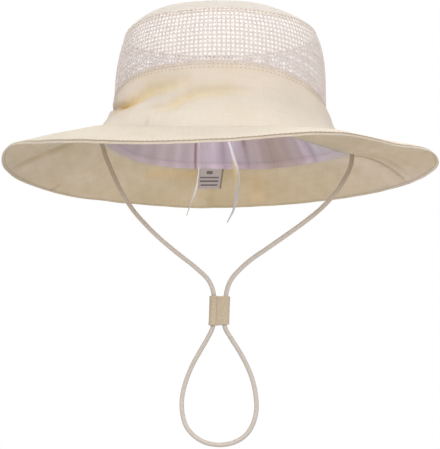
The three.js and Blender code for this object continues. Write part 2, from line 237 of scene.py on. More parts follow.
def crown_wall(angle, share, inwards):
    """Lower crown wall, with its creases, slight rumples and a groove where it is sewn to the brim."""
    plain = plain_crown_wall(angle, share, inwards)
    rumple = 0.28 * soft_noise(plain, 46, 3) + 0.1 * soft_noise(plain, 15, 5)
    rumple = rumple * smooth(share / 0.15) * smooth((1 - share) / 0.12)
    groove = (0.12 + 0.5 * bell(np.mod(angle, 360) - 279, 9)) * bell(share, 0.02)
    topstitch = 0.22 * bell(share - 0.955, 0.012) + 0.5 * smooth((share - 0.97) / 0.03)
    return plain_crown_wall(angle, share, inwards + crease_depth(angle, share) + rumple + groove + topstitch)


def net_wall(angle, share, inwards):
    """Net band: share 0 is the seam with the lower wall, 1 the seam with the top panel."""
    turn = np.clip(share, 0, None) ** leaning(NET_SHOULDER, angle)
    plan = between(NET_SEAM, TOP_SEAM, angle, turn, inwards)
    top = round_the_hat("top_seam", angle) - SEAM_GAP
    return point(plan, blend(round_the_hat("net_seam", angle), top, share))


def net_wall_lapped(angle, share, inwards):
    """The net's own sheet, which laps 2 mm inside the cotton at its foot."""
    return net_wall(angle, blend(-0.05, 1, share), inwards)


def behind_net(angle, share, depth):
    """The cotton's seam allowance, inside the net's foot."""
    return net_wall(angle, share, NET + 0.15 + depth)


def top_panel(angle, share, depth):
    """Domed top panel: share 0 is its edge, 1 its middle."""
    reach = 1 - share
    plan = blend(np.array(DOME_MIDDLE), ring_point(TOP_SEAM, angle, -SEAM_GAP), reach[..., None])
    fullness = leaning(DOME_FULLNESS, angle)
    height = blend(CROWN_HEIGHT, round_the_hat("top_seam", angle), reach**fullness)
    dome = point(plan, height)
    pucker = 0.16 * np.sin(np.radians(angle) * 52 + 2 * np.sin(np.radians(angle) * 5)) * bell(share, 0.09)
    rumple = 0.5 * soft_noise(dome, 52, 11) * smooth(share / 0.1)
    return point(plan, height + pucker + rumple - 0.6 * edge_fall(share / 0.016) - depth)


BRIM_WIDTH = BRIM_HEM["radius_x"] - HEAD_OPENING["radius_x"]
SEAT_SHARE = 1 - (SEAM_ALLOWANCE + 1) / BRIM_WIDTH

# Folds of the brim, each along a line in plan: (start, end, lift, width). A negative lift sinks the cloth.
BRIM_FOLDS = (
    ((-96, 2), (-137, 10), 1.5, 3.2),
    ((-97, 10), (-136, 19), -0.9, 5.5),
    ((-118, 72), (-104, 58), 0.8, 3),
    ((92, 8), (128, 40), 1.3, 3),
    ((94, 2), (132, 30), -0.8, 5),
    ((92, -26), (136, -10), -0.9, 4),
    ((84, -46), (124, -58), 0.6, 7),
    ((-74, -56), (-104, -82), -0.7, 10),
    ((62, -70), (88, -100), -0.6, 10),
    ((-60, 76), (-84, 108), 0.5, 9),
    ((52, 82), (76, 114), 0.5, 10),
)

# Seams that join the brim's two halves at its sides, each a line in plan: (start, end, groove, width).
STITCHED_SEAM = ((85, 16), (129, 51), 0.45, 0.7)
BRIM_SEAMS = (STITCHED_SEAM, ((-72, 40), (-118, 72), 0.14, 1.2))
HEM_LIFT = {"angle": 302, "width": 8, "height": 1.7}  # where the front hem turns up a little
HEM_STITCH = 1.9  # from the edge to the stitched line
HEM_STEP = 1.25  # from the edge to the step down on to its rolled edge
HEM_ROUND = 0.6


def from_line(plan, start, end):
    """Distance in millimetres from a line in plan, and how far along it, 0 to 1 between its ends."""
    line = np.subtract(end, start)
    length = np.linalg.norm(line)
    ahead = line / length
    offset = plan - start
    return offset[..., 1] * ahead[0] - offset[..., 0] * ahead[1], offset @ ahead / length


def brim_surface(angle, share, depth):
    """Brim: share 0 is the hem, 1 the edge of the head opening. depth 0 is its upper face."""
    plan = between(BRIM_HEM, HEAD_OPENING, angle, share)
    climb = np.minimum(1, share / SEAT_SHARE)
    height = blend(round_the_hat("hem", angle), round_the_hat("foot", angle), climb)
    turned_up = HEM_LIFT["height"] * bell(np.mod(angle, 360) - HEM_LIFT["angle"], HEM_LIFT["width"])
    height = height + turned_up * (1 - climb) ** 2 + round_the_hat("puff", angle) * 4 * climb * (1 - climb)
    free = smooth((1 - climb) / 0.25)
    for start, end, lift, width in BRIM_FOLDS:
        across, along = from_line(plan, start, end)
        fades = smooth((along + 0.12) / 0.24) * smooth((1.12 - along) / 0.24)
        height = height + lift * bell(across, width) * fades * free * smooth(climb / 0.25 + 0.25)
    flat = point(plan, 0)
    height = height + (0.3 * soft_noise(flat, 48, 21) + 0.1 * soft_noise(flat, 17, 22)) * free
    seam = 0
    for start, end, groove, width in BRIM_SEAMS:
        across, along = from_line(plan, start, end)
        seam = seam + groove * bell(across, width) * (along > 0)
    from_edge = share * BRIM_WIDTH
    stitched = blend(0.12, 0.22, depth) * bell(from_edge - HEM_STITCH, 0.35) + seam * free
    roll = blend(-0.6, 0.45, depth) * smooth((HEM_STEP + 0.2 - from_edge) / 0.4)
    half = BRIM_CLOTH / 2
    near_face = half * (1 - edge_fall(from_edge / HEM_ROUND)) + roll - stitched
    return point(plan, height - half + np.where(depth > 0, -near_face, near_face))


def gathers(angle):
    """How far the sweatband's gathers stand out from the wall."""
    return sum(height * bell(angle - center, width) for center, height, width in LINING_GATHERS)


def lining_wall(angle, share, inwards):
    """Sweatband: share 0 is the head opening, 1 its upper edge inside the crown."""
    wall_height = round_the_hat("net_seam", angle) - round_the_hat("foot", angle)
    on_wall = np.maximum(0, share) * LINING_HEIGHT / wall_height
    below = np.minimum(0, share)[..., None] * (0, 0, LINING_HEIGHT)
    creases = [along_path(path, angle)[1] for path in CROWN_CREASES.values()]
    pushed_in = np.maximum(0, np.max(creases, axis=0)) * np.minimum(1, share * 2)
    bound = 1.25 * smooth((1.6 - share * LINING_HEIGHT) / 1.6)
    plain = plain_crown_wall(angle, on_wall, 0)
    rumple = 0.25 * soft_noise(plain * (1, 1, 0.35), 11, 31) * smooth(share / 0.2)
    rolled = -0.25 * bell(share * LINING_HEIGHT - 2.6, 0.5)
    total = LINING_INSET + pushed_in + gathers(angle) * smooth(share / 0.35 + 0.15) + rumple + rolled + bound
    return plain_crown_wall(angle, on_wall, total + inwards) + below


# ---- Tints: painted light and shade, with some random tone, that multiply a cloth's colour, as red, green and blue

# Painted shade and painted light on the brim's underside, each along a line in plan: beside its folds and its
# stitched side seam, with a dark line on that seam, a darker line at the back and two warmer patches: (start,
# end, width, tint).
BRIM_PAINTED_SHADES = (
    ((-97, 5), (-137, 11), 3.4, (0.82, 0.79, 0.74)),
    ((-97, 14), (-135, 24), 6, (1.05, 1.02, 1.02)),
    ((90, 4), (127, 40), 4.2, (0.84, 0.83, 0.76)),
    ((94, -1), (136, 20), 12, (0.9, 0.89, 0.82)),
    ((86, 32), (120, 62), 11, (1.09, 1.06, 1.08)),
    ((86, 17.3), (129, 52), 0.8, (0.62, 0.52, 0.46)),
    ((-112, 67), (-119, 72.5), 1.3, (0.8, 0.74, 0.66)),
    ((-4, 92), (-7, 136), 3.4, (0.86, 0.84, 0.76)),
    ((-54, 72), (-14, 88), 7, (1.05, 0.98, 0.84)),
    ((24, 88), (30, 130), 7, (1.05, 0.98, 0.9)),
)


def tinted(base, *layers):
    """The base times layers of (share, tint), each of them 1 where its share is 0 and its tint where 1."""
    for share, tint in layers:
        base = base * (1 + (np.array(tint) - 1) * share[..., None])
    return base


def no_tint(angle, share, side):
    return np.ones((*angle.shape, 3))


def top_painted_light(angle, share, side):
    """Painted light on the top panel: its inside whiter, as if lit through the cloth, and its outside a
    little darker.
    """
    return no_tint(angle, share, side) * ((1.06, 1.1, 1.23) if side else (0.91, 0.92, 0.93))


def wall_painted_light(angle, share, side):
    """Painted shade and light on the crown's cotton: gold-tinted painted shade in its creases and on and
    below the left tuck's lip, painted light low on the wall and beside the left tuck, and a small darker
    spot.
    """
    deep = crease_depth(angle, share)
    # Gold-tinted painted shade in the creases, on the left tuck's lip and below it.
    folded = np.clip(deep / 5.5, 0, 1) * smooth((angle - 184) / 14)
    lip = smooth((deep - 4.2) / 1.5) * smooth((228 - angle) / 8)
    under = bell(share - 0.35, 0.055) * smooth((angle - 198) / 8) * smooth((229 - angle) / 8)
    spot = bell(angle - 235.1, 0.8) * bell(share - 0.075, 0.06)
    # Painted light low on the wall, beside the left tuck and at the right bulge, and painted shade higher up.
    light = 0.95 + 0.06 * smooth((0.4 - share) / 0.25) - 0.045 * smooth((share - 0.35) / 0.2)
    light = light + 0.12 * bell(angle - 216, 16) + 0.05 * bell(angle - 322, 9)
    return tinted(
        light[..., None],
        (folded, (1.12, 1.0, 0.68)),
        (lip, (1.04, 0.9, 0.58)),
        (under, (0.9, 0.82, 0.66)),
        (spot, (0.86, 0.81, 0.78)),
    )


def brim_mottle_and_painted_light(angle, share, side):
    """Painted light and shade on the brim over a faint random mottle: painted shade on the hem's rolled edge
    and in its groove, painted highlights on the edge at the tips, and on the underside painted shade, painted
    light and a painted warm shade at the back.
    """
    from_edge = share * BRIM_WIDTH
    edge = smooth((HEM_STITCH - 0.3 - from_edge) / 0.3)
    line = bell(from_edge - blend(HEM_STEP, HEM_STITCH, side), 0.3)
    plan = between(BRIM_HEM, HEAD_OPENING, angle, share)
    flat = point(plan, 0)
    patches = (soft_noise(flat, 28, 61) + 0.9 * soft_noise(flat, 9, 62))[..., None] * (1, 1.05, 1.6)
    # Upper face: painted shade on the rolled edge and in the groove beside it, less at the tips, and painted
    # shade at the left and on the edge at the front right.
    if side == 0:
        line = line * (1 - 0.6 * bell(angle - 345, 24) - 0.85 * bell(angle - 200, 22))
        edge = edge * (1 - 1.3 * bell(angle - 345, 20) - 0.8 * bell(angle - 196, 20))
        return tinted(
            (1.03, 1.06, 1.06) * (1 + 0.006 * patches),
            (edge, (0.84, 0.82, 0.8)),
            (line, (0.5, 0.46, 0.45)),
            (bell(angle - 205, 42), (0.87, 0.88, 0.87)),
            (edge * bell(angle - 300, 22), (0.84, 0.83, 0.82)),
        )
    # Underside: painted shade in the hem's groove, painted highlights on the edge at the tips, painted light
    # at the right, painted shade at the front right and the left, painted warm shade at the back, and the
    # painted shade and light along lines in plan.
    tip = bell(np.mod(angle + 180, 360) - 180, 17) + 0.5 * bell(angle - 190, 20)
    painted_shades = []
    for start, end, width, tint in BRIM_PAINTED_SHADES:
        across, along = from_line(plan, start, end)
        fades = smooth((along + 0.1) / 0.25) * smooth((1.08 - along) / 0.2)
        painted_shades.append((bell(across, width) * fades, tint))
    return tinted(
        (1, 1.03, 1.02) * (1 + 0.034 * patches),
        (edge, (0.97, 0.99, 1.03)),
        (line, (0.77, 0.71, 0.67)),
        (edge * tip, (1.16, 1.2, 1.28)),
        (bell(angle - 20, 26), (1.03, 1.05, 1.12)),
        (bell(angle - 322, 20), (0.87, 0.87, 0.84)),
        (bell(angle - 88, 46), (0.98, 0.94, 0.81)),
        (bell(angle - 178, 24), (0.87, 0.9, 0.9)),
        *painted_shades,
    )


def lining_streaks_and_painted_light(angle, share, side):
    """Painted light and shade on the sweatband over random streaks: lilac where its gathers are lit and
    painted brownish shade away from them, painted light on each gather's crest and painted shade in its
    grooves.
    """
    # Lilac at the lit gathers, and painted brownish shade at 62 degrees, away from them.
    lilac = bell(angle - 90, 16) + bell(angle - 38, 9)
    pale = smooth((39 - angle) / 5) * smooth((angle + 20) / 20)
    foot = smooth((share + 0.06) / 0.03) * smooth((0.085 - share) / 0.03)
    # Painted shade in the groove at 78 degrees.
    groove_painted_shade = bell(angle - 78, 1.6) * smooth((share - 0.35) / 0.4)
    beside_seam = bell(angle - 105.9, 0.6) + bell(angle - 103.2, 0.7)
    streaks = soft_noise(angle[..., None] * (1, 0, 0), 6.5, 71)
    # Random streaks, with painted light on the gathers' crests and painted shade in their grooves.
    light = 0.77 * (1 + 0.05 * streaks * smooth(share / 0.15))
    light = light * (1 + 0.11 * np.clip(gathers(angle), -2.2, 2.4))
    return tinted(
        light[..., None],
        (lilac, (1.03, 1.03, 1.12)),
        (bell(angle - 62, 13), (0.87, 0.81, 0.71)),
        (pale, (1.1, 1.14, 1.12)),
        (foot, (1.1, 1.08, 1.08)),
        (bell(share * LINING_HEIGHT - 3.1, 0.45), (0.9, 0.87, 0.89)),
        (groove_painted_shade, (0.82, 0.66, 0.62)),
        (bell(angle - 104.6, 0.4), (0.5, 0.42, 0.42)),
        (beside_seam, (1.12, 1.06, 1.02)),
    )


def tag_painted_shade(angle, share, side):
    """Painted shade along the tag's edge at +X, standing in for a folded-back layer in shadow."""
    return tinted(1, (smooth((across_tag(angle) - 0.9) / 0.06), (0.5, 0.44, 0.36)))


# ---- Mesh building

SMOOTH_LIMIT = math.radians(50)


def link(obj):
    bpy.context.scene.collection.objects.link(obj)
    return obj


def mesh_object(name, points, faces, uv=None, tint=None):
    """A smooth mesh object from points in millimetres. uv holds one pair for each corner, in metres."""
    mesh = bpy.data.meshes.new(name)
    mesh.from_pydata((points * MM).tolist(), [], faces)
    if uv is not None:
        layer = mesh.uv_layers.new(name="cloth")
        layer.data.foreach_set("uv", np.ascontiguousarray(uv, np.float32).ravel())
    if tint is not None:
        layer = mesh.color_attributes.new(name="tint", type="FLOAT_COLOR", domain="POINT")
        layer.data.foreach_set("color", np.insert(tint, 3, 1, axis=1).astype(np.float32).ravel())
    mesh.shade_smooth()
    mesh.set_sharp_from_angle(angle=SMOOTH_LIMIT)
    mesh.validate()
    return link(bpy.data.objects.new(name, mesh))


def flat_grid(*counts):
    """Each index of a grid's cells in one row, the last index running fastest."""
    return [index.ravel() for index in np.indices(counts)]


def shell(surface, thickness, across, along, closed=False, pole=False):
    """Points, faces and each corner's UV of a closed shell of cloth over a grid of across x along."""
    columns, rows = len(across), len(along)
    half = columns * rows
    grid = np.meshgrid(across, along, indexing="ij")
    outer_face, inner_face = (surface(*grid, depth) for depth in (0, thickness))
    points = np.concatenate([outer_face.reshape(-1, 3), inner_face.reshape(-1, 3)])
    i, j = flat_grid(columns if closed else columns - 1, rows - 1)
    column = stacked(i, i + 1, i + 1, i)
    row = stacked(j, j, j + 1, j + 1)
    outer = (column % columns) * rows + row
    steps = np.linalg.norm(np.diff(outer_face, axis=1), axis=-1).mean(axis=0)
    v_at = np.concatenate([[0], np.cumsum(steps)]) * MM
    pitch = np.linalg.norm(np.diff(outer_face[:, 0], axis=0), axis=-1).mean() * MM
    uv_outer = stacked(column * pitch, v_at[row])
    parts, uvs = [outer, outer[:, ::-1] + half], [uv_outer, uv_outer[:, ::-1]]
    rims = [(row[:, 0] == 0, 0, 1)]
    if not pole:
        rims.append((row[:, 2] == rows - 1, 2, 3))
    if not closed:
        rims += [(column[:, 0] == 0, 3, 0), (column[:, 1] == columns - 1, 1, 2)]
    for on_rim, near, far in rims:
        a, b = outer[on_rim, near], outer[on_rim, far]
        uv_a, uv_b = uv_outer[on_rim, near], uv_outer[on_rim, far]
        parts.append(stacked(b, a, a + half, b + half))
        uvs.append(np.stack([uv_b, uv_a, uv_a, uv_b], axis=1))
    return points, np.concatenate(parts), np.concatenate(uvs)


def cloth_shell(name, surface, thickness, across, along, closed=True, pole=False, tint_of=no_tint):
    """A closed shell of cloth, tinted on each side, with UVs that run along the cloth."""
    points, faces, uv = shell(surface, thickness, across, along, closed, pole)
    grid = np.meshgrid(across, along, indexing="ij")
    tint = np.concatenate([tint_of(*grid, side).reshape(-1, 3) for side in (0, 1)])
    if pole:
        return pole_mesh(name, points, faces, uv, tint, len(along))
    return mesh_object(name, points, faces.tolist(), uv.reshape(-1, 2), tint)


def pole_mesh(name, points, faces, uv, tint, rows):
    """The shell with its last row of each side drawn together into one point."""
    half = len(points) // 2
    corner = np.arange(len(points))
    tip = np.where(corner < half, rows - 1, half + rows - 1)
    merged = np.where(corner % rows == rows - 1, tip, corner)
    used, renumbered = np.unique(merged[faces], return_inverse=True)
    kept_faces, kept_uv = [], []
    for corners, pairs in zip(renumbered.reshape(faces.shape).tolist(), uv):
        seen = [k for k, corner in enumerate(corners) if corner not in corners[:k]]
        kept_faces.append([corners[k] for k in seen])
        kept_uv.extend(pairs[k] for k in seen)
    return mesh_object(name, points[used], kept_faces, np.array(kept_uv), tint[used])


def even(count, start=0, end=1):
    return np.linspace(start, end, count)


def round_angles(count):
    return np.arange(count) * 360 / count


def net_lattice(name, surface, thickness, columns, rows, hole, seed):
    """A net of square cells round the hat, each with a rounded hole, its strands thinner towards the hole."""
    rng = np.random.default_rng(seed)
    corners = np.array([(0, 0), (1, 0), (2, 0), (2, 1), (2, 2), (1, 2), (0, 2), (0, 1)])
    i, j = flat_grid(columns, rows)
    frame_column = 2 * i[:, None] + corners[:, 0]
    frame_row = 2 * j[:, None] + corners[:, 1]
    strand_rows = 2 * rows + 1
    border = (frame_column % (2 * columns)) * strand_rows + frame_row
    node_column, node_row = flat_grid(2 * columns, strand_rows)
    turn = np.radians(np.arange(8) * 45 - 135)
    reach = np.where(np.arange(8) % 2 == 0, 1.18, 1.0) * hole / 2
    size = rng.uniform(0.96, 1.04, (len(i), 1))
    shift = rng.uniform(-0.015, 0.015, (len(i), 2))
    hole_column = i[:, None] + 0.5 + shift[:, :1] + np.cos(turn) * reach * size
    hole_row = j[:, None] + 0.5 + shift[:, 1:] + np.sin(turn) * reach * size
    angle = np.concatenate([node_column / 2, hole_column.ravel()]) * 360 / columns
    share = np.concatenate([node_row / 2, hole_row.ravel()]) / rows
    knot = np.where((node_column % 2 == 0) & (node_row % 2 == 0), -0.12, 0.0)
    sink = np.concatenate([knot, np.full(hole_column.size, 0.13)])
    points = np.concatenate([surface(angle, share, depth) for depth in (sink, thickness - sink)])
    half = len(angle)
    inside = len(node_column) + np.arange(len(i) * 8).reshape(-1, 8)
    after = np.roll(np.arange(8), -1)
    outer = stacked(border, border[:, after], inside[:, after], inside).reshape(-1, 4)
    walls = stacked(inside, inside[:, after], inside[:, after] + half, inside + half).reshape(-1, 4)
    parts = [outer, outer[:, ::-1] + half, walls]
    for row, corner in ((0, 0), (0, 1), (rows - 1, 4), (rows - 1, 5)):
        a, b = border[j == row, corner], border[j == row, corner + 1]
        parts.append(stacked(b, a, a + half, b + half))
    faces = np.concatenate(parts)
    used, renumbered = np.unique(faces, return_inverse=True)
    return mesh_object(name, points[used], renumbered.reshape(faces.shape).tolist())


def smooth_line(points, spacing):
    """Points about `spacing` apart on a centripetal Catmull-Rom line through the given points."""
    p = np.array(points)
    p = np.vstack([2 * p[0] - p[1], p, 2 * p[-1] - p[-2]])
    gaps = np.sqrt(np.linalg.norm(np.diff(p, axis=0), axis=1))
    knots = np.concatenate([[0], np.cumsum(gaps)])
    pieces = []
    for k in range(1, len(p) - 2):
        t0, t1, t2, t3 = knots[k - 1 : k + 3]
        p0, p1, p2, p3 = p[k - 1 : k + 3]
        span = t2 - t1
        start = span * ((p1 - p0) / (t1 - t0) - (p2 - p0) / (t2 - t0) + (p2 - p1) / span)
        end = span * ((p2 - p1) / span - (p3 - p1) / (t3 - t1) + (p3 - p2) / (t3 - t2))
        pieces.append(hermite(np.linspace(0, 1, 24, endpoint=False)[:, None], p1, p2, start, end))
    fine = np.vstack([*pieces, p[-2:-1]])
    along = np.concatenate([[0], np.cumsum(np.linalg.norm(np.diff(fine, axis=0), axis=1))])
    at = even(round(along[-1] / spacing) + 1, 0, along[-1])
    return stacked(*(np.interp(at, along, values) for values in fine.T))


def unit(vectors):
    return vectors / np.linalg.norm(vectors, axis=-1, keepdims=True)


def stitch_row(surface, length, pitch, count, width, height):
    """Points and faces of a row of stitches. surface(t, lift) gives the row's line and its lifted line."""
    ring, turns = 5, np.arange(6) * math.pi / 3
    along = even(ring, -0.5, 0.5)
    plump = np.sqrt(np.clip(1 - (2.05 * along) ** 4, 0.06, 1))
    middle = (np.arange(count) + 0.5) / count
    t = middle[:, None] + along * length / (pitch * count)
    line = surface(t, 0)
    up = unit(surface(t, 1) - line)
    ahead = unit(np.gradient(line, axis=1))
    across = np.cross(ahead, up)
    arch = (np.cos(along * math.pi) ** 0.5 * height * 0.55)[None, :, None]
    points = (
        (line + up * arch)[:, :, None, :]
        + across[:, :, None, :] * (np.cos(turns)[:, None] * width / 2 * plump[:, None, None])
        + up[:, :, None, :] * (np.sin(turns)[:, None] * height / 2 * plump[:, None, None])
    ).reshape(-1, 3)
    k, r, s = flat_grid(count, ring - 1, 6)
    base = (k * ring + r) * 6
    after = (s + 1) % 6
    sides = stacked(base + s, base + after, base + 6 + after, base + 6 + s)
    first = np.arange(count)[:, None] * ring * 6
    last = first + (ring - 1) * 6
    caps = [first + (5, 4, 3, 2), first + (5, 2, 1, 0), last + (0, 1, 2, 3), last + (0, 3, 4, 5)]
    return points, np.concatenate([sides, *caps])


def joined(name, parts):
    """One mesh object from several (points, faces) parts."""
    points, faces = zip(*parts)
    starts = np.cumsum([0, *map(len, points)])
    faces = np.concatenate([part + start for part, start in zip(faces, starts)])
    return mesh_object(name, np.concatenate(points), faces.tolist())


# ---- Materials


class Shader:
    """A material's node tree, with short calls to add and link nodes."""

    def __init__(self, name):
        self.material = bpy.data.materials.new(name)
        self.material.use_nodes = True
        self.tree = self.material.node_tree
        self.tree.nodes.clear()

    def node(self, kind, values, **settings):
        node = self.tree.nodes.new(f"ShaderNode{kind}")
        for key, value in settings.items():
            setattr(node, key, value)
        for key, value in values.items():
            if isinstance(value, bpy.types.NodeSocket):
                self.tree.links.new(value, node.inputs[key])
            else:
                node.inputs[key].default_value = value
        return node

    def add(self, kind, values, output=0, **settings):
        return self.node(kind, values, **settings).outputs[output]

    def math(self, operation, a, b=0.0):
        return self.add("Math", {0: a, 1: b}, operation=operation)

    def mix(self, factor, a, b, blend_type="MIX"):
        return self.add("Mix", {0: factor, 6: a, 7: b}, 2, data_type="RGBA", blend_type=blend_type)

    def ramp(self, value, low, high):
        """value mapped from low..high to 0..1."""
        return self.add("MapRange", {0: value, 1: low, 2: high}, interpolation_type="SMOOTHSTEP")

    def noise(self, vector, scale, detail=3.0):
        return self.add("TexNoise", {"Vector": vector, "Scale": scale, "Detail": detail, "Roughness": 0.55})

    def streaks(self, vector, scale):
        """Noise stretched along the axes where its scale is low."""
        return self.noise(self.add("Mapping", {"Vector": vector, "Scale": scale}), 1.0, 2.0)

    def place(self, cloth_uv=False):
        """The place on the cloth by its UVs, or else in the object, in metres."""
        return self.add("UVMap", {}, uv_map="cloth") if cloth_uv else self.add("TexCoord", {}, "Object")

    def axes(self, vector):
        return self.node("SeparateXYZ", {0: vector}).outputs

    def bump(self, height, strength, distance):
        return self.add("Bump", {"Strength": strength, "Distance": distance, "Height": height})

    def finished(self, shown):
        """The material with what it shows."""
        self.node("OutputMaterial", {0: shown})
        return self.material

    def lit(self, color, roughness, normal, gloss, through=0.0, glow=None):
        """The material of a surface, through which a share of the light shines as a glow."""
        values = {"Base Color": color, "Roughness": roughness, "Normal": normal, **gloss}
        shown = self.add("BsdfPrincipled", values)
        if through:
            shown = self.add("MixShader", {0: through, 1: shown, 2: self.add("BsdfTranslucent", glow)})
        return self.finished(shown)


def rgb(*levels):
    """Linear colour from 0-255 sRGB values."""
    values = [level / 255 for level in levels]
    return (*[c / 12.92 if c <= 0.04045 else ((c + 0.055) / 1.055) ** 2.4 for c in values], 1.0)


def times(color, *tint):
    """The colour times a grey, or times a red, a green and a blue."""
    return (*np.multiply(color[:3], tint), 1.0)


def woven(name, color, roughness=0.85, pitch=0.0006, *, cloth_uv=True, sheen=0.15, through=0.0, glow=None):
    """Plain-weave cloth: threads that cross at `pitch` metres, with slubs and uneven dye.

    `through` is the share of light that shines through the cloth, and `glow` its colour there.
    """
    shader = Shader(name)
    vector = shader.place(cloth_uv)
    across, along, _ = shader.axes(vector)
    pace = 2 * math.pi / pitch
    warp = shader.math("SINE", shader.math("MULTIPLY", across, pace))
    weft = shader.math("SINE", shader.math("MULTIPLY", along, pace))
    over_under = shader.math("MULTIPLY", warp, weft)
    slubs = shader.math("ADD", shader.streaks(vector, (60, 1400, 60)), shader.streaks(vector, (1400, 60, 60)))
    dye = shader.noise(vector, 55.0, 4.0)
    mottle = shader.noise(vector, 21.0)
    dyed = shader.mix(shader.ramp(dye, 0.3, 0.75), color, times(color, 0.955))
    yellower = times(color, 0.93, 0.92, 0.86)
    mottled = shader.mix(shader.ramp(dye, 0.3, 0.7), yellower, times(color, 1, 0.985, 0.985))
    uneven = shader.mix(shader.ramp(mottle, 0.35, 0.7), dyed, mottled)
    threads = shader.math("MULTIPLY", shader.ramp(slubs, 0.75, 1.35), 0.55)
    shown = shader.mix(threads, uneven, times(color, 0.83))
    # The tint attribute: painted light and shade, with some random tone.
    tint = shader.add("VertexColor", {}, layer_name="tint")
    height = shader.math("ADD", shader.math("MULTIPLY", over_under, 0.35), slubs)
    bump = shader.bump(height, 0.25, 0.0004)
    shown = shader.mix(1, shown, tint, blend_type="MULTIPLY")
    gloss = {"Sheen Weight": sheen, "Sheen Roughness": 0.5, "Specular IOR Level": 0.25}
    return shader.lit(shown, roughness, bump, gloss, through, {"Color": glow, "Normal": bump})


def threaded(name, color, roughness, scale=900.0, through=0.0, painted_shade_below=None):
    """Twisted thread, yarn or cord, with short fibres and a little colour variation.

    `through` is the share of light that shines through it. Below the height that its last argument gives, in
    metres, a cord is painted darker as painted shade, and at its top it is painted browner as painted shade
    beneath the brim.
    """
    shader = Shader(name)
    vector = shader.place()
    fibres = shader.noise(vector, scale)
    dye = shader.noise(vector, 90.0)
    tone = shader.math("ADD", shader.math("MULTIPLY", fibres, 0.6), shader.math("MULTIPLY", dye, 0.4))
    shown = shader.mix(shader.ramp(tone, 0.3, 0.7), times(color, 0.86), color)
    if painted_shade_below:
        # Painted shade: darker low down, and browner at the top, beneath the brim.
        height = shader.axes(vector)[2]
        shown = shader.mix(shader.ramp(height, painted_shade_below, painted_shade_below + 0.1), times(color, 0.7), shown)
        shown = shader.mix(shader.ramp(height, -0.07, 0.0), shown, times(color, 0.64, 0.57, 0.46))
    bump = shader.bump(fibres, 0.3, 0.0002)
    gloss = {"Sheen Weight": 0.2, "Specular IOR Level": 0.3}
    return shader.lit(shown, roughness, bump, gloss, through, {"Color": (1.0, 0.98, 0.96, 1.0)})


def ribbon_satin(name, gold_reflection):
    """Sheer glossy ribbon with fine ribs along its length, painted yellower and then greyer lower down as if
    the cloth behind showed through. The last argument sets the painted gold reflection on its edge at -X.
    """
    shader = Shader(name)
    vector = shader.place(cloth_uv=True)
    across, along, _ = shader.axes(vector)
    ribs = shader.streaks(vector, (3000, 60, 60))
    ribbed = shader.ramp(ribs, 0.3, 0.7)
    shown = shader.mix(ribbed, rgb(236, 232, 240), rgb(252, 250, 255))
    yellowed = shader.mix(ribbed, rgb(206, 196, 180), rgb(224, 216, 200))
    greyed = shader.mix(ribbed, rgb(196, 190, 198), rgb(222, 217, 226))
    # Painted yellower and then greyer lower down, as if the cloth behind showed through.
    shown = shader.mix(shader.ramp(along, 0.018, 0.028), shown, yellowed)
    shown = shader.mix(shader.ramp(along, 0.034, 0.044), shown, greyed)
    edge = shader.math("MULTIPLY", shader.ramp(along, 0.014, 0.02), shader.ramp(along, 0.036, 0.028))
    edge = shader.math("MULTIPLY", edge, shader.ramp(across, 0.001, 0.0006))
    shown = shader.mix(shader.math("MULTIPLY", edge, gold_reflection), shown, rgb(226, 200, 138))
    gloss = {"Specular IOR Level": 1.0, "Coat Weight": 1, "Coat Roughness": 0.12}
    return shader.lit(shown, 0.25, shader.bump(ribs, 0.2, 0.0001), gloss)


CREAM = rgb(236, 229, 217)
CREAM_GLOW = rgb(230, 194, 110)

cotton_flat = woven("cotton_flat", CREAM, cloth_uv=False, through=0.3, glow=CREAM_GLOW)
cotton_wall = woven("cotton_wall", CREAM, through=0.3, glow=CREAM_GLOW)
cotton_top = woven("cotton_top", rgb(240, 235, 224), cloth_uv=False, through=0.78, glow=rgb(255, 253, 250))
net_yarn = threaded("net_yarn", rgb(216, 205, 203), 0.7, scale=6000.0, through=0.55)
lining_cloth = woven("lining_cloth", rgb(226, 210, 219), 0.5, 0.0005, sheen=0.3)
seam_thread = threaded("seam_thread", rgb(196, 177, 150), 0.7)
hem_thread = threaded("hem_thread", rgb(172, 150, 122), 0.8)
cotton_thread = threaded("cotton_thread", rgb(218, 200, 172), 0.8)
lining_thread = threaded("lining_thread", rgb(216, 200, 214), 0.7)
cord_yarn = threaded("cord_yarn", rgb(222, 211, 201), 0.8, scale=1500.0, painted_shade_below=-0.13)
slider_cloth = woven("slider_cloth", rgb(191, 175, 152), 0.55, 0.0007, sheen=0.1)
tag_satin = woven("tag_satin", rgb(198, 188, 184), 0.45, 0.0004, sheen=0.2)
tag_ink = threaded("tag_ink", rgb(124, 114, 116), 0.6)


# ---- Camera, floor and light

CAMERA = {"lens": 110.5, "location": (0.0001, -0.8943, -0.1513), "looks_up": 6.45}
FLOOR = {"height": -0.95, "radius": 6, "fades_from": 1.5, "fades_to": 5.5}
GREY_FLOOR = (0.57, 0.555, 0.53, 1)
WHITE = (1, 1, 1, 1)
SURROUND_LIGHT = 0.75  # of the surround, on the hat

# Round soft lights: (name, location, height it aims at, diameter, power).
LIGHTS = (
    ("key", (-0.4, -1.45, 0.95), -0.02, 1.2, 14.5),
    ("fill", (1.1, -1.3, 0.5), -0.02, 1, 10),
    ("back", (0.1, 1.3, 1.2), 0.05, 1.2, 18),
    ("low", (-0.9, -1.25, -0.5), -0.03, 0.6, 2.6),
)


def add_camera():
    data = bpy.data.cameras.new("camera")
    data.lens = CAMERA["lens"]
    camera = link(bpy.data.objects.new("camera", data))
    camera.location = CAMERA["location"]
    camera.rotation_euler = (math.radians(90 + CAMERA["looks_up"]), 0, 0)
    bpy.context.scene.camera = camera


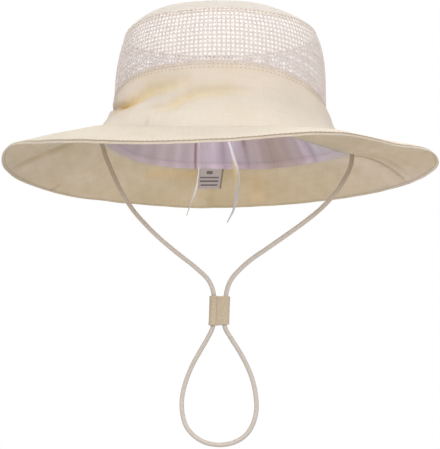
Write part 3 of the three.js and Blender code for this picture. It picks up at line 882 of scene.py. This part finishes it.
def add_light(name, location, aim, diameter, power):
    data = bpy.data.lights.new(name, "AREA")
    data.shape = "DISK"
    data.size = diameter
    data.energy = power
    light = link(bpy.data.objects.new(name, data))
    light.location = location
    light.rotation_euler = (Vector((0, 0, aim)) - Vector(location)).to_track_quat("-Z", "Y").to_euler()


def add_surround():
    """A white surround, which the camera sees brighter than it lights the hat."""
    world = bpy.data.worlds.new("studio")
    world.use_nodes = True
    nodes, links = world.node_tree.nodes, world.node_tree.links
    backdrop = nodes["Background"]
    backdrop.inputs[0].default_value = WHITE
    strength = nodes.new("ShaderNodeMapRange")
    strength.inputs[3].default_value = SURROUND_LIGHT
    links.new(nodes.new("ShaderNodeLightPath").outputs["Is Camera Ray"], strength.inputs[0])
    links.new(strength.outputs[0], backdrop.inputs[1])
    bpy.context.scene.world = world
    bpy.context.scene.view_settings.view_transform = "Standard"


def add_floor():
    """A pale floor that fades into the white surround."""
    bpy.ops.mesh.primitive_circle_add(
        vertices=96, radius=FLOOR["radius"], fill_type="NGON", location=(0, 0, FLOOR["height"])
    )
    floor = bpy.context.object
    floor.name = "floor"
    shader = Shader("floor")
    distance = shader.add("VectorMath", {0: shader.place()}, "Value", operation="LENGTH")
    fade = shader.ramp(distance, FLOOR["fades_from"], FLOOR["fades_to"])
    pale = shader.add("BsdfDiffuse", {"Color": GREY_FLOOR})
    white = shader.add("Emission", {"Color": WHITE})
    shown = shader.add("MixShader", {0: fade, 1: pale, 2: white})
    floor.data.materials.append(shader.finished(shown))


# ---- Pieces

CORD_DIAMETER = 3.0
CORD_SIDES = 16
CORD_STEP = 0.5
BRAID = {"depth": 0.07, "strands": 4, "pace": 2.2}
CORD_ROUTE = (
    (-78.9, 0, 6.6), (-77, -0.5, 1.5), (-74.5, -1, -6.3), (-70.3, -1.5, -16.4), (-64.3, -2, -28.8),
    (-56.8, -2, -40.7), (-48.2, -2, -50.6), (-39, -1.5, -59.6), (-27.9, -1, -68.9), (-15.6, -0.5, -78.6),
    (-7.2, 0, -87), (-3.92, 0, -96.2), (-4.25, 0, -106.5), (-4.62, 0, -117), (-7.6, 0.5, -123.6),
    (-12.2, 1.5, -131.6), (-17.6, 2.5, -141.2), (-22, 3, -152), (-24.4, 3, -162.6), (-24.3, 2.5, -171.5),
    (-21.9, 1.5, -180.2), (-16.9, 0.5, -186.4), (-9.6, -0.5, -190.8), (0.4, -1, -192.4), (10, -1.5, -190.4),
    (17, -2, -185.7), (21.3, -2.5, -178.8), (23.4, -2.5, -170.4), (23.1, -2.5, -161.4), (21.2, -2, -151.7),
    (17.5, -1.5, -142), (12.4, -1, -132.4), (6.8, -0.5, -123.6), (3.28, 0, -117), (3.65, 0, -106.5),
    (4, 0, -96.2), (7.4, 0, -86.3), (18.4, -0.5, -74.8), (31.4, -1, -65.6), (42.6, -1.5, -57.8),
    (54.3, -2, -49.4), (65, -2, -40.8), (74, -1.5, -31.4), (81, -1, -21.4), (85.8, -0.5, -11.4),
    (86.9, 0.1, -3.4),
)

RIBBON_THICKNESS = 0.3
RIBBON_TOP_SHARE = 0.62  # of the ribbon's width, where it leaves the seam rolled up
RIBBON_TIP_SHARE = 0.35
# The ribbon's tails: (node, width, how much wider its middle is, strength of the painted gold reflection on
# its edge, route).
RIBBON_TAILS = (
    ("ribbon_tail_left", 1.5, 0, 0.0, (
        (-14.8, 72.6, -1), (-15.4, 72.2, -8), (-17.2, 71.4, -18), (-21, 70.8, -28.5), (-23.4, 70.6, -36),
    )),
    ("ribbon_tail_right", 2.8, 0.75, 1.0, (
        (5.4, 67.5, 18.5), (8.8, 68.8, 9), (11.3, 69.5, -2), (12.4, 69.8, -12), (11.9, 69.8, -22),
        (9.6, 69.6, -32), (5.2, 69.4, -41),
    )),
)

SLIDER = {"center_x": -0.3, "center_z": -106.6, "height": 19, "strip": 0.8, "lean": 2, "slant": 0.9}
# The folded strip in plan, from the free end of its top flap round both strands to its hidden end.
SLIDER_FOLD = (
    (-2.2, -2.72), (-3.0, -2.8), (-3.95, -2.84), (-5.1, -2.6), (-6.0, -1.75), (-6.35, -0.4), (-6.2, 0.9),
    (-5.4, 1.75), (-3.95, 2.05), (-2.2, 1.85), (0, 1.6), (2.2, 1.85), (3.95, 2.05), (5.3, 1.75), (6.1, 0.9),
    (6.3, 0), (6.1, -0.95), (5.3, -1.75), (3.95, -2.0), (2.2, -1.8), (0.3, -1.62), (-1.6, -1.75),
    (-3.0, -1.95), (-4.0, -1.99),
)

TAG_ANGLES = (90, 103)
TAG = {"length": 15.5, "thickness": 0.4, "step_in": 0.5}
TAG_HANG = {"curl": 1.6, "slant": 2.2}  # how far its lower corner at +X hangs out of line
# Plain bars where a care tag has its print: (height on the tag, length, breadth), as shares of the tag.
TAG_BARS = ((0.76, 0.32, 0.15), (0.53, 1.0, 0.07), (0.36, 1.0, 0.085), (0.18, 0.94, 0.075))
BARS = {"middle_angle": 97.1, "half_angle": 5.07, "thickness": 0.14, "inside_tag": 0.1}

NET_CELLS = {"columns": 153, "rows": 14, "hole": 0.67, "seed": 41}


def place(obj, material, slot, *nodes):
    """Give the piece its material, stand it in for its solids and let it move with the hat. Its slot is not
    used.
    """
    obj.data.materials.append(material)
    if nodes:
        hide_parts(*nodes)
    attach(obj, "root")
    return obj


def chin_cord():
    """The round braided cord, from one side of the head opening to the other, and its middle line."""
    line = smooth_line(CORD_ROUTE, CORD_STEP)
    ahead = unit(np.gradient(line, axis=0))
    sides = [np.array([0.0, 1.0, 0.0])]
    for tangent in ahead:
        sides.append(unit(sides[-1] - tangent * (sides[-1] @ tangent)))
    sides = np.array(sides[1:])
    backs = np.cross(ahead, sides)
    turns = np.arange(CORD_SIDES) * 2 * math.pi / CORD_SIDES
    travelled = np.arange(len(line))[:, None] * CORD_STEP * BRAID["pace"]
    twist = BRAID["strands"] * turns
    radius = CORD_DIAMETER / 2 + BRAID["depth"] * np.sin(twist + travelled) * np.sin(twist - travelled)
    ring = sides[:, None] * np.cos(turns)[:, None] + backs[:, None] * np.sin(turns)[:, None]
    points = (line[:, None] + ring * radius[..., None]).reshape(-1, 3)
    k, side = flat_grid(len(line) - 1, CORD_SIDES)
    near, far = k * CORD_SIDES, (k + 1) * CORD_SIDES
    after = (side + 1) % CORD_SIDES
    quads = stacked(near + side, near + after, far + after, far + side)
    start, end = np.arange(len(points)).reshape(-1, CORD_SIDES)[[0, -1]].tolist()
    return mesh_object("cord_visual", points, [*quads.tolist(), start[::-1], end]), line


def ribbon_tail(name, width, swell, route):
    """One flat tail of the size adjuster's ribbon, narrower towards its cut end, and its middle line."""
    line = smooth_line(route, 1.0)
    count = len(line)

    def strip(across, along, depth):
        at = along * (count - 1)
        middle = stacked(*(np.interp(at, np.arange(count), values) for values in line.T))
        spread = blend(RIBBON_TOP_SHARE, 1, smooth((along - 0.3) / 0.25)) + swell * bell(along - 0.4, 0.13)
        half = width / 2 * spread * blend(1, RIBBON_TIP_SHARE, smooth((along - 0.6) / 0.4))
        cupped = -0.3 * (1 - across**2) * (0.7 + 0.3 * np.cos(along * math.pi * 3))
        return middle + stacked(across * half, cupped + depth - RIBBON_THICKNESS / 2, 0 * along)

    across = (-1, -0.92, -0.7, -0.35, 0, 0.35, 0.7, 0.92, 1)
    return cloth_shell(f"{name}_visual", strip, RIBBON_THICKNESS, across, even(count), closed=False), line


def slider():
    """A strip folded round both strands, its top flap overlapping at -X."""
    fold = smooth_line([(x, y, 0) for x, y in SLIDER_FOLD], 0.3)[:, :2]
    ahead = unit(np.gradient(fold, axis=0))
    normal = stacked(ahead[:, 1], -ahead[:, 0])
    count = len(fold)
    lean = math.radians(SLIDER["lean"])

    def strip(across, along, depth):
        at = np.round(across * (count - 1)).astype(int)
        plan = fold[at] + normal[at] * (SLIDER["strip"] / 2 - depth)
        raised = SLIDER["slant"] * smooth((plan[..., 0] + 2) / 8)
        tall = SLIDER["height"] - raised * (1 - along)
        z = SLIDER["height"] / 2 - tall * (1 - along)
        x = plan[..., 0] * (1 - 0.012 * np.sin(along * math.pi))
        leaned_x = x * math.cos(lean) + z * math.sin(lean)
        leaned_z = z * math.cos(lean) - x * math.sin(lean)
        return stacked(leaned_x + SLIDER["center_x"], plan[..., 1], leaned_z + SLIDER["center_z"])

    along = np.round([0, 0.012, 0.03, *even(14, 0.06, 0.94), 0.97, 0.988, 1], 5)
    return cloth_shell("slider_visual", strip, SLIDER["strip"], even(count), along, closed=False)


def across_tag(angle):
    """How far across the tag an angle is, from 0 at its edge at -X to 1."""
    return (TAG_ANGLES[1] - angle) / (TAG_ANGLES[1] - TAG_ANGLES[0])


def tag_face(angle, share, depth):
    """The tag's face that is `depth` mm in from its outer one: share 0 is its lower edge."""
    down = 1 - share
    loose = across_tag(angle) * down
    hang = stacked(TAG_HANG["slant"] * loose, TAG_HANG["curl"] * loose**2)
    plan = ring_point(HEAD_OPENING, angle, TAG["step_in"] + depth) - hang
    return point(plan, round_the_hat("foot", angle) - SEAM_GAP - TAG["length"] * down)


def tag_bars():
    def bar_face(angle, share, depth):
        return tag_face(angle, share, TAG["thickness"] - BARS["inside_tag"] + depth)

    parts = []
    for height, length, breadth in TAG_BARS:
        half = BARS["half_angle"] * length
        across = even(9, BARS["middle_angle"] - half, BARS["middle_angle"] + half)
        along = even(3, height - breadth / 2, height + breadth / 2)
        parts.append(shell(bar_face, BARS["thickness"], across, along)[:2])
    return joined("label_bars", parts)


def row_on(surface, share, depth=0, outwards=-1):
    """A row round the hat at one share of a surface, with its stitches lifted off the face at this depth."""

    def row(t, lift):
        return surface(t * 360, np.full(t.shape, share), depth + outwards * lift)

    return row


def row_on_hem(side):
    def row(t, lift):
        face = brim_surface(t * 360, np.full(t.shape, HEM_STITCH / BRIM_WIDTH), side)
        return face + (0, 0, -lift if side else lift)

    return row


def row_on_side_seam(start, end):
    start, end = np.array((start, end))

    def row(t, lift):
        plan = blend(start, end, 0.1 + 0.86 * t[..., None])
        angle = np.degrees(np.arctan2(plan[..., 1], plan[..., 0]))
        inner, outer = (np.linalg.norm(ring_point(ring, angle), axis=-1) for ring in (HEAD_OPENING, BRIM_HEM))
        share = (outer - np.linalg.norm(plan, axis=-1)) / (outer - inner)
        return brim_surface(angle, share, 1) - (0, 0, lift)

    return row


# Rows of stitches by piece: its thread, its slot, and rows of (line, length, pitch, count, width, height).
STITCHES = {
    "seam": (seam_thread, "cotton", (
        (row_on(crown_wall, 0.965), 1.6, 2.8, 156, 0.55, 0.26),
        (row_on(crown_wall, 0.915), 1.6, 2.8, 156, 0.55, 0.26),
        (row_on(net_wall, 0.985), 1.7, 2.8, 140, 0.45, 0.24),
        (row_on(net_wall, 0.94), 1.7, 2.8, 140, 0.4, 0.2),
        (row_on_hem(0), 2.4, 3.0, 291, 0.4, 0.2),
    )),
    "hem": (hem_thread, "cotton", [(row_on_side_seam(*STITCHED_SEAM[:2]), 2.4, 2.8, 18, 0.5, 0.24)]),
    "underside": (cotton_thread, "cotton", [(row_on_hem(1), 2.3, 3.0, 291, 0.4, 0.2)]),
    "lining": (lining_thread, "lining", (
        (row_on(lining_wall, 0.1, LINING_CLOTH, 1), 2.1, 3.0, 164, 0.4, 0.2),
    )),
}


def build_cords():
    cord, line = chin_cord()
    place(cord, cord_yarn, "cord", "chin_cord")
    folded = place(slider(), slider_cloth, "slider", "cord_slider")
    for node, width, swell, gold_reflection, route in RIBBON_TAILS:
        tail, line = ribbon_tail(node, width, swell, route)
        place(tail, ribbon_satin(f"{node}_satin", gold_reflection), "ribbon", node)


def build_cloth():
    rows = np.array([0, 0.0008, 0.002, 0.004, 0.007, 0.011, 0.017, 0.025, 0.035, *even(34, 0.05, 1)])
    top = cloth_shell("top_visual", top_panel, COTTON, round_angles(360), rows, pole=True, tint_of=top_painted_light)
    place(top, cotton_top, "cotton", "crown_top")

    band = cloth_shell("band_visual", crown_wall, COTTON, round_angles(480), even(56), tint_of=wall_painted_light)
    place(band, cotton_wall, "cotton", "crown_band")

    net = net_lattice("mesh_visual", net_wall_lapped, NET, **NET_CELLS)
    place(net, net_yarn, "net", "mesh_band")

    hem = (0, 0.04, 0.12, 0.25, 0.45, 0.7, 1.0, 1.12, 1.25, 1.38, 1.5, 1.7, 1.9, 2.1, 2.5, 3.2, 4.4, 6)
    rows = np.array([*hem, *even(46, 7.5, BRIM_WIDTH)]) / BRIM_WIDTH
    brim = cloth_shell("brim_visual", brim_surface, 1, round_angles(480), rows, tint_of=brim_mottle_and_painted_light)
    place(brim, cotton_flat, "cotton", "brim")

    rows = [-0.05, -0.03, -0.01, 0.01, 0.03, 0.055, *even(26, 0.08, 1)]
    turns = round_angles(600)
    lining = cloth_shell("sweatband_visual", lining_wall, LINING_CLOTH, turns, rows, tint_of=lining_streaks_and_painted_light)
    place(lining, lining_cloth, "lining", "sweatband")

    allowance = cloth_shell("net_seam_allowance", behind_net, 0.5, round_angles(240), even(6, -0.03, 0.03))
    place(allowance, cotton_top, "cotton")

    across = even(40, *TAG_ANGLES)
    label = cloth_shell("label_visual", tag_face, TAG["thickness"], across, even(17), False, tint_of=tag_painted_shade)
    place(label, tag_satin, "tag", "size_label")
    place(tag_bars(), tag_ink, "tag")

    for name, (thread, slot, rows) in STITCHES.items():
        place(joined(f"stitches_{name}", [stitch_row(*row) for row in rows]), thread, slot)


add_camera()
build_cords()
build_cloth()
add_surround()
add_floor()
for light in LIGHTS:
    add_light(*light)
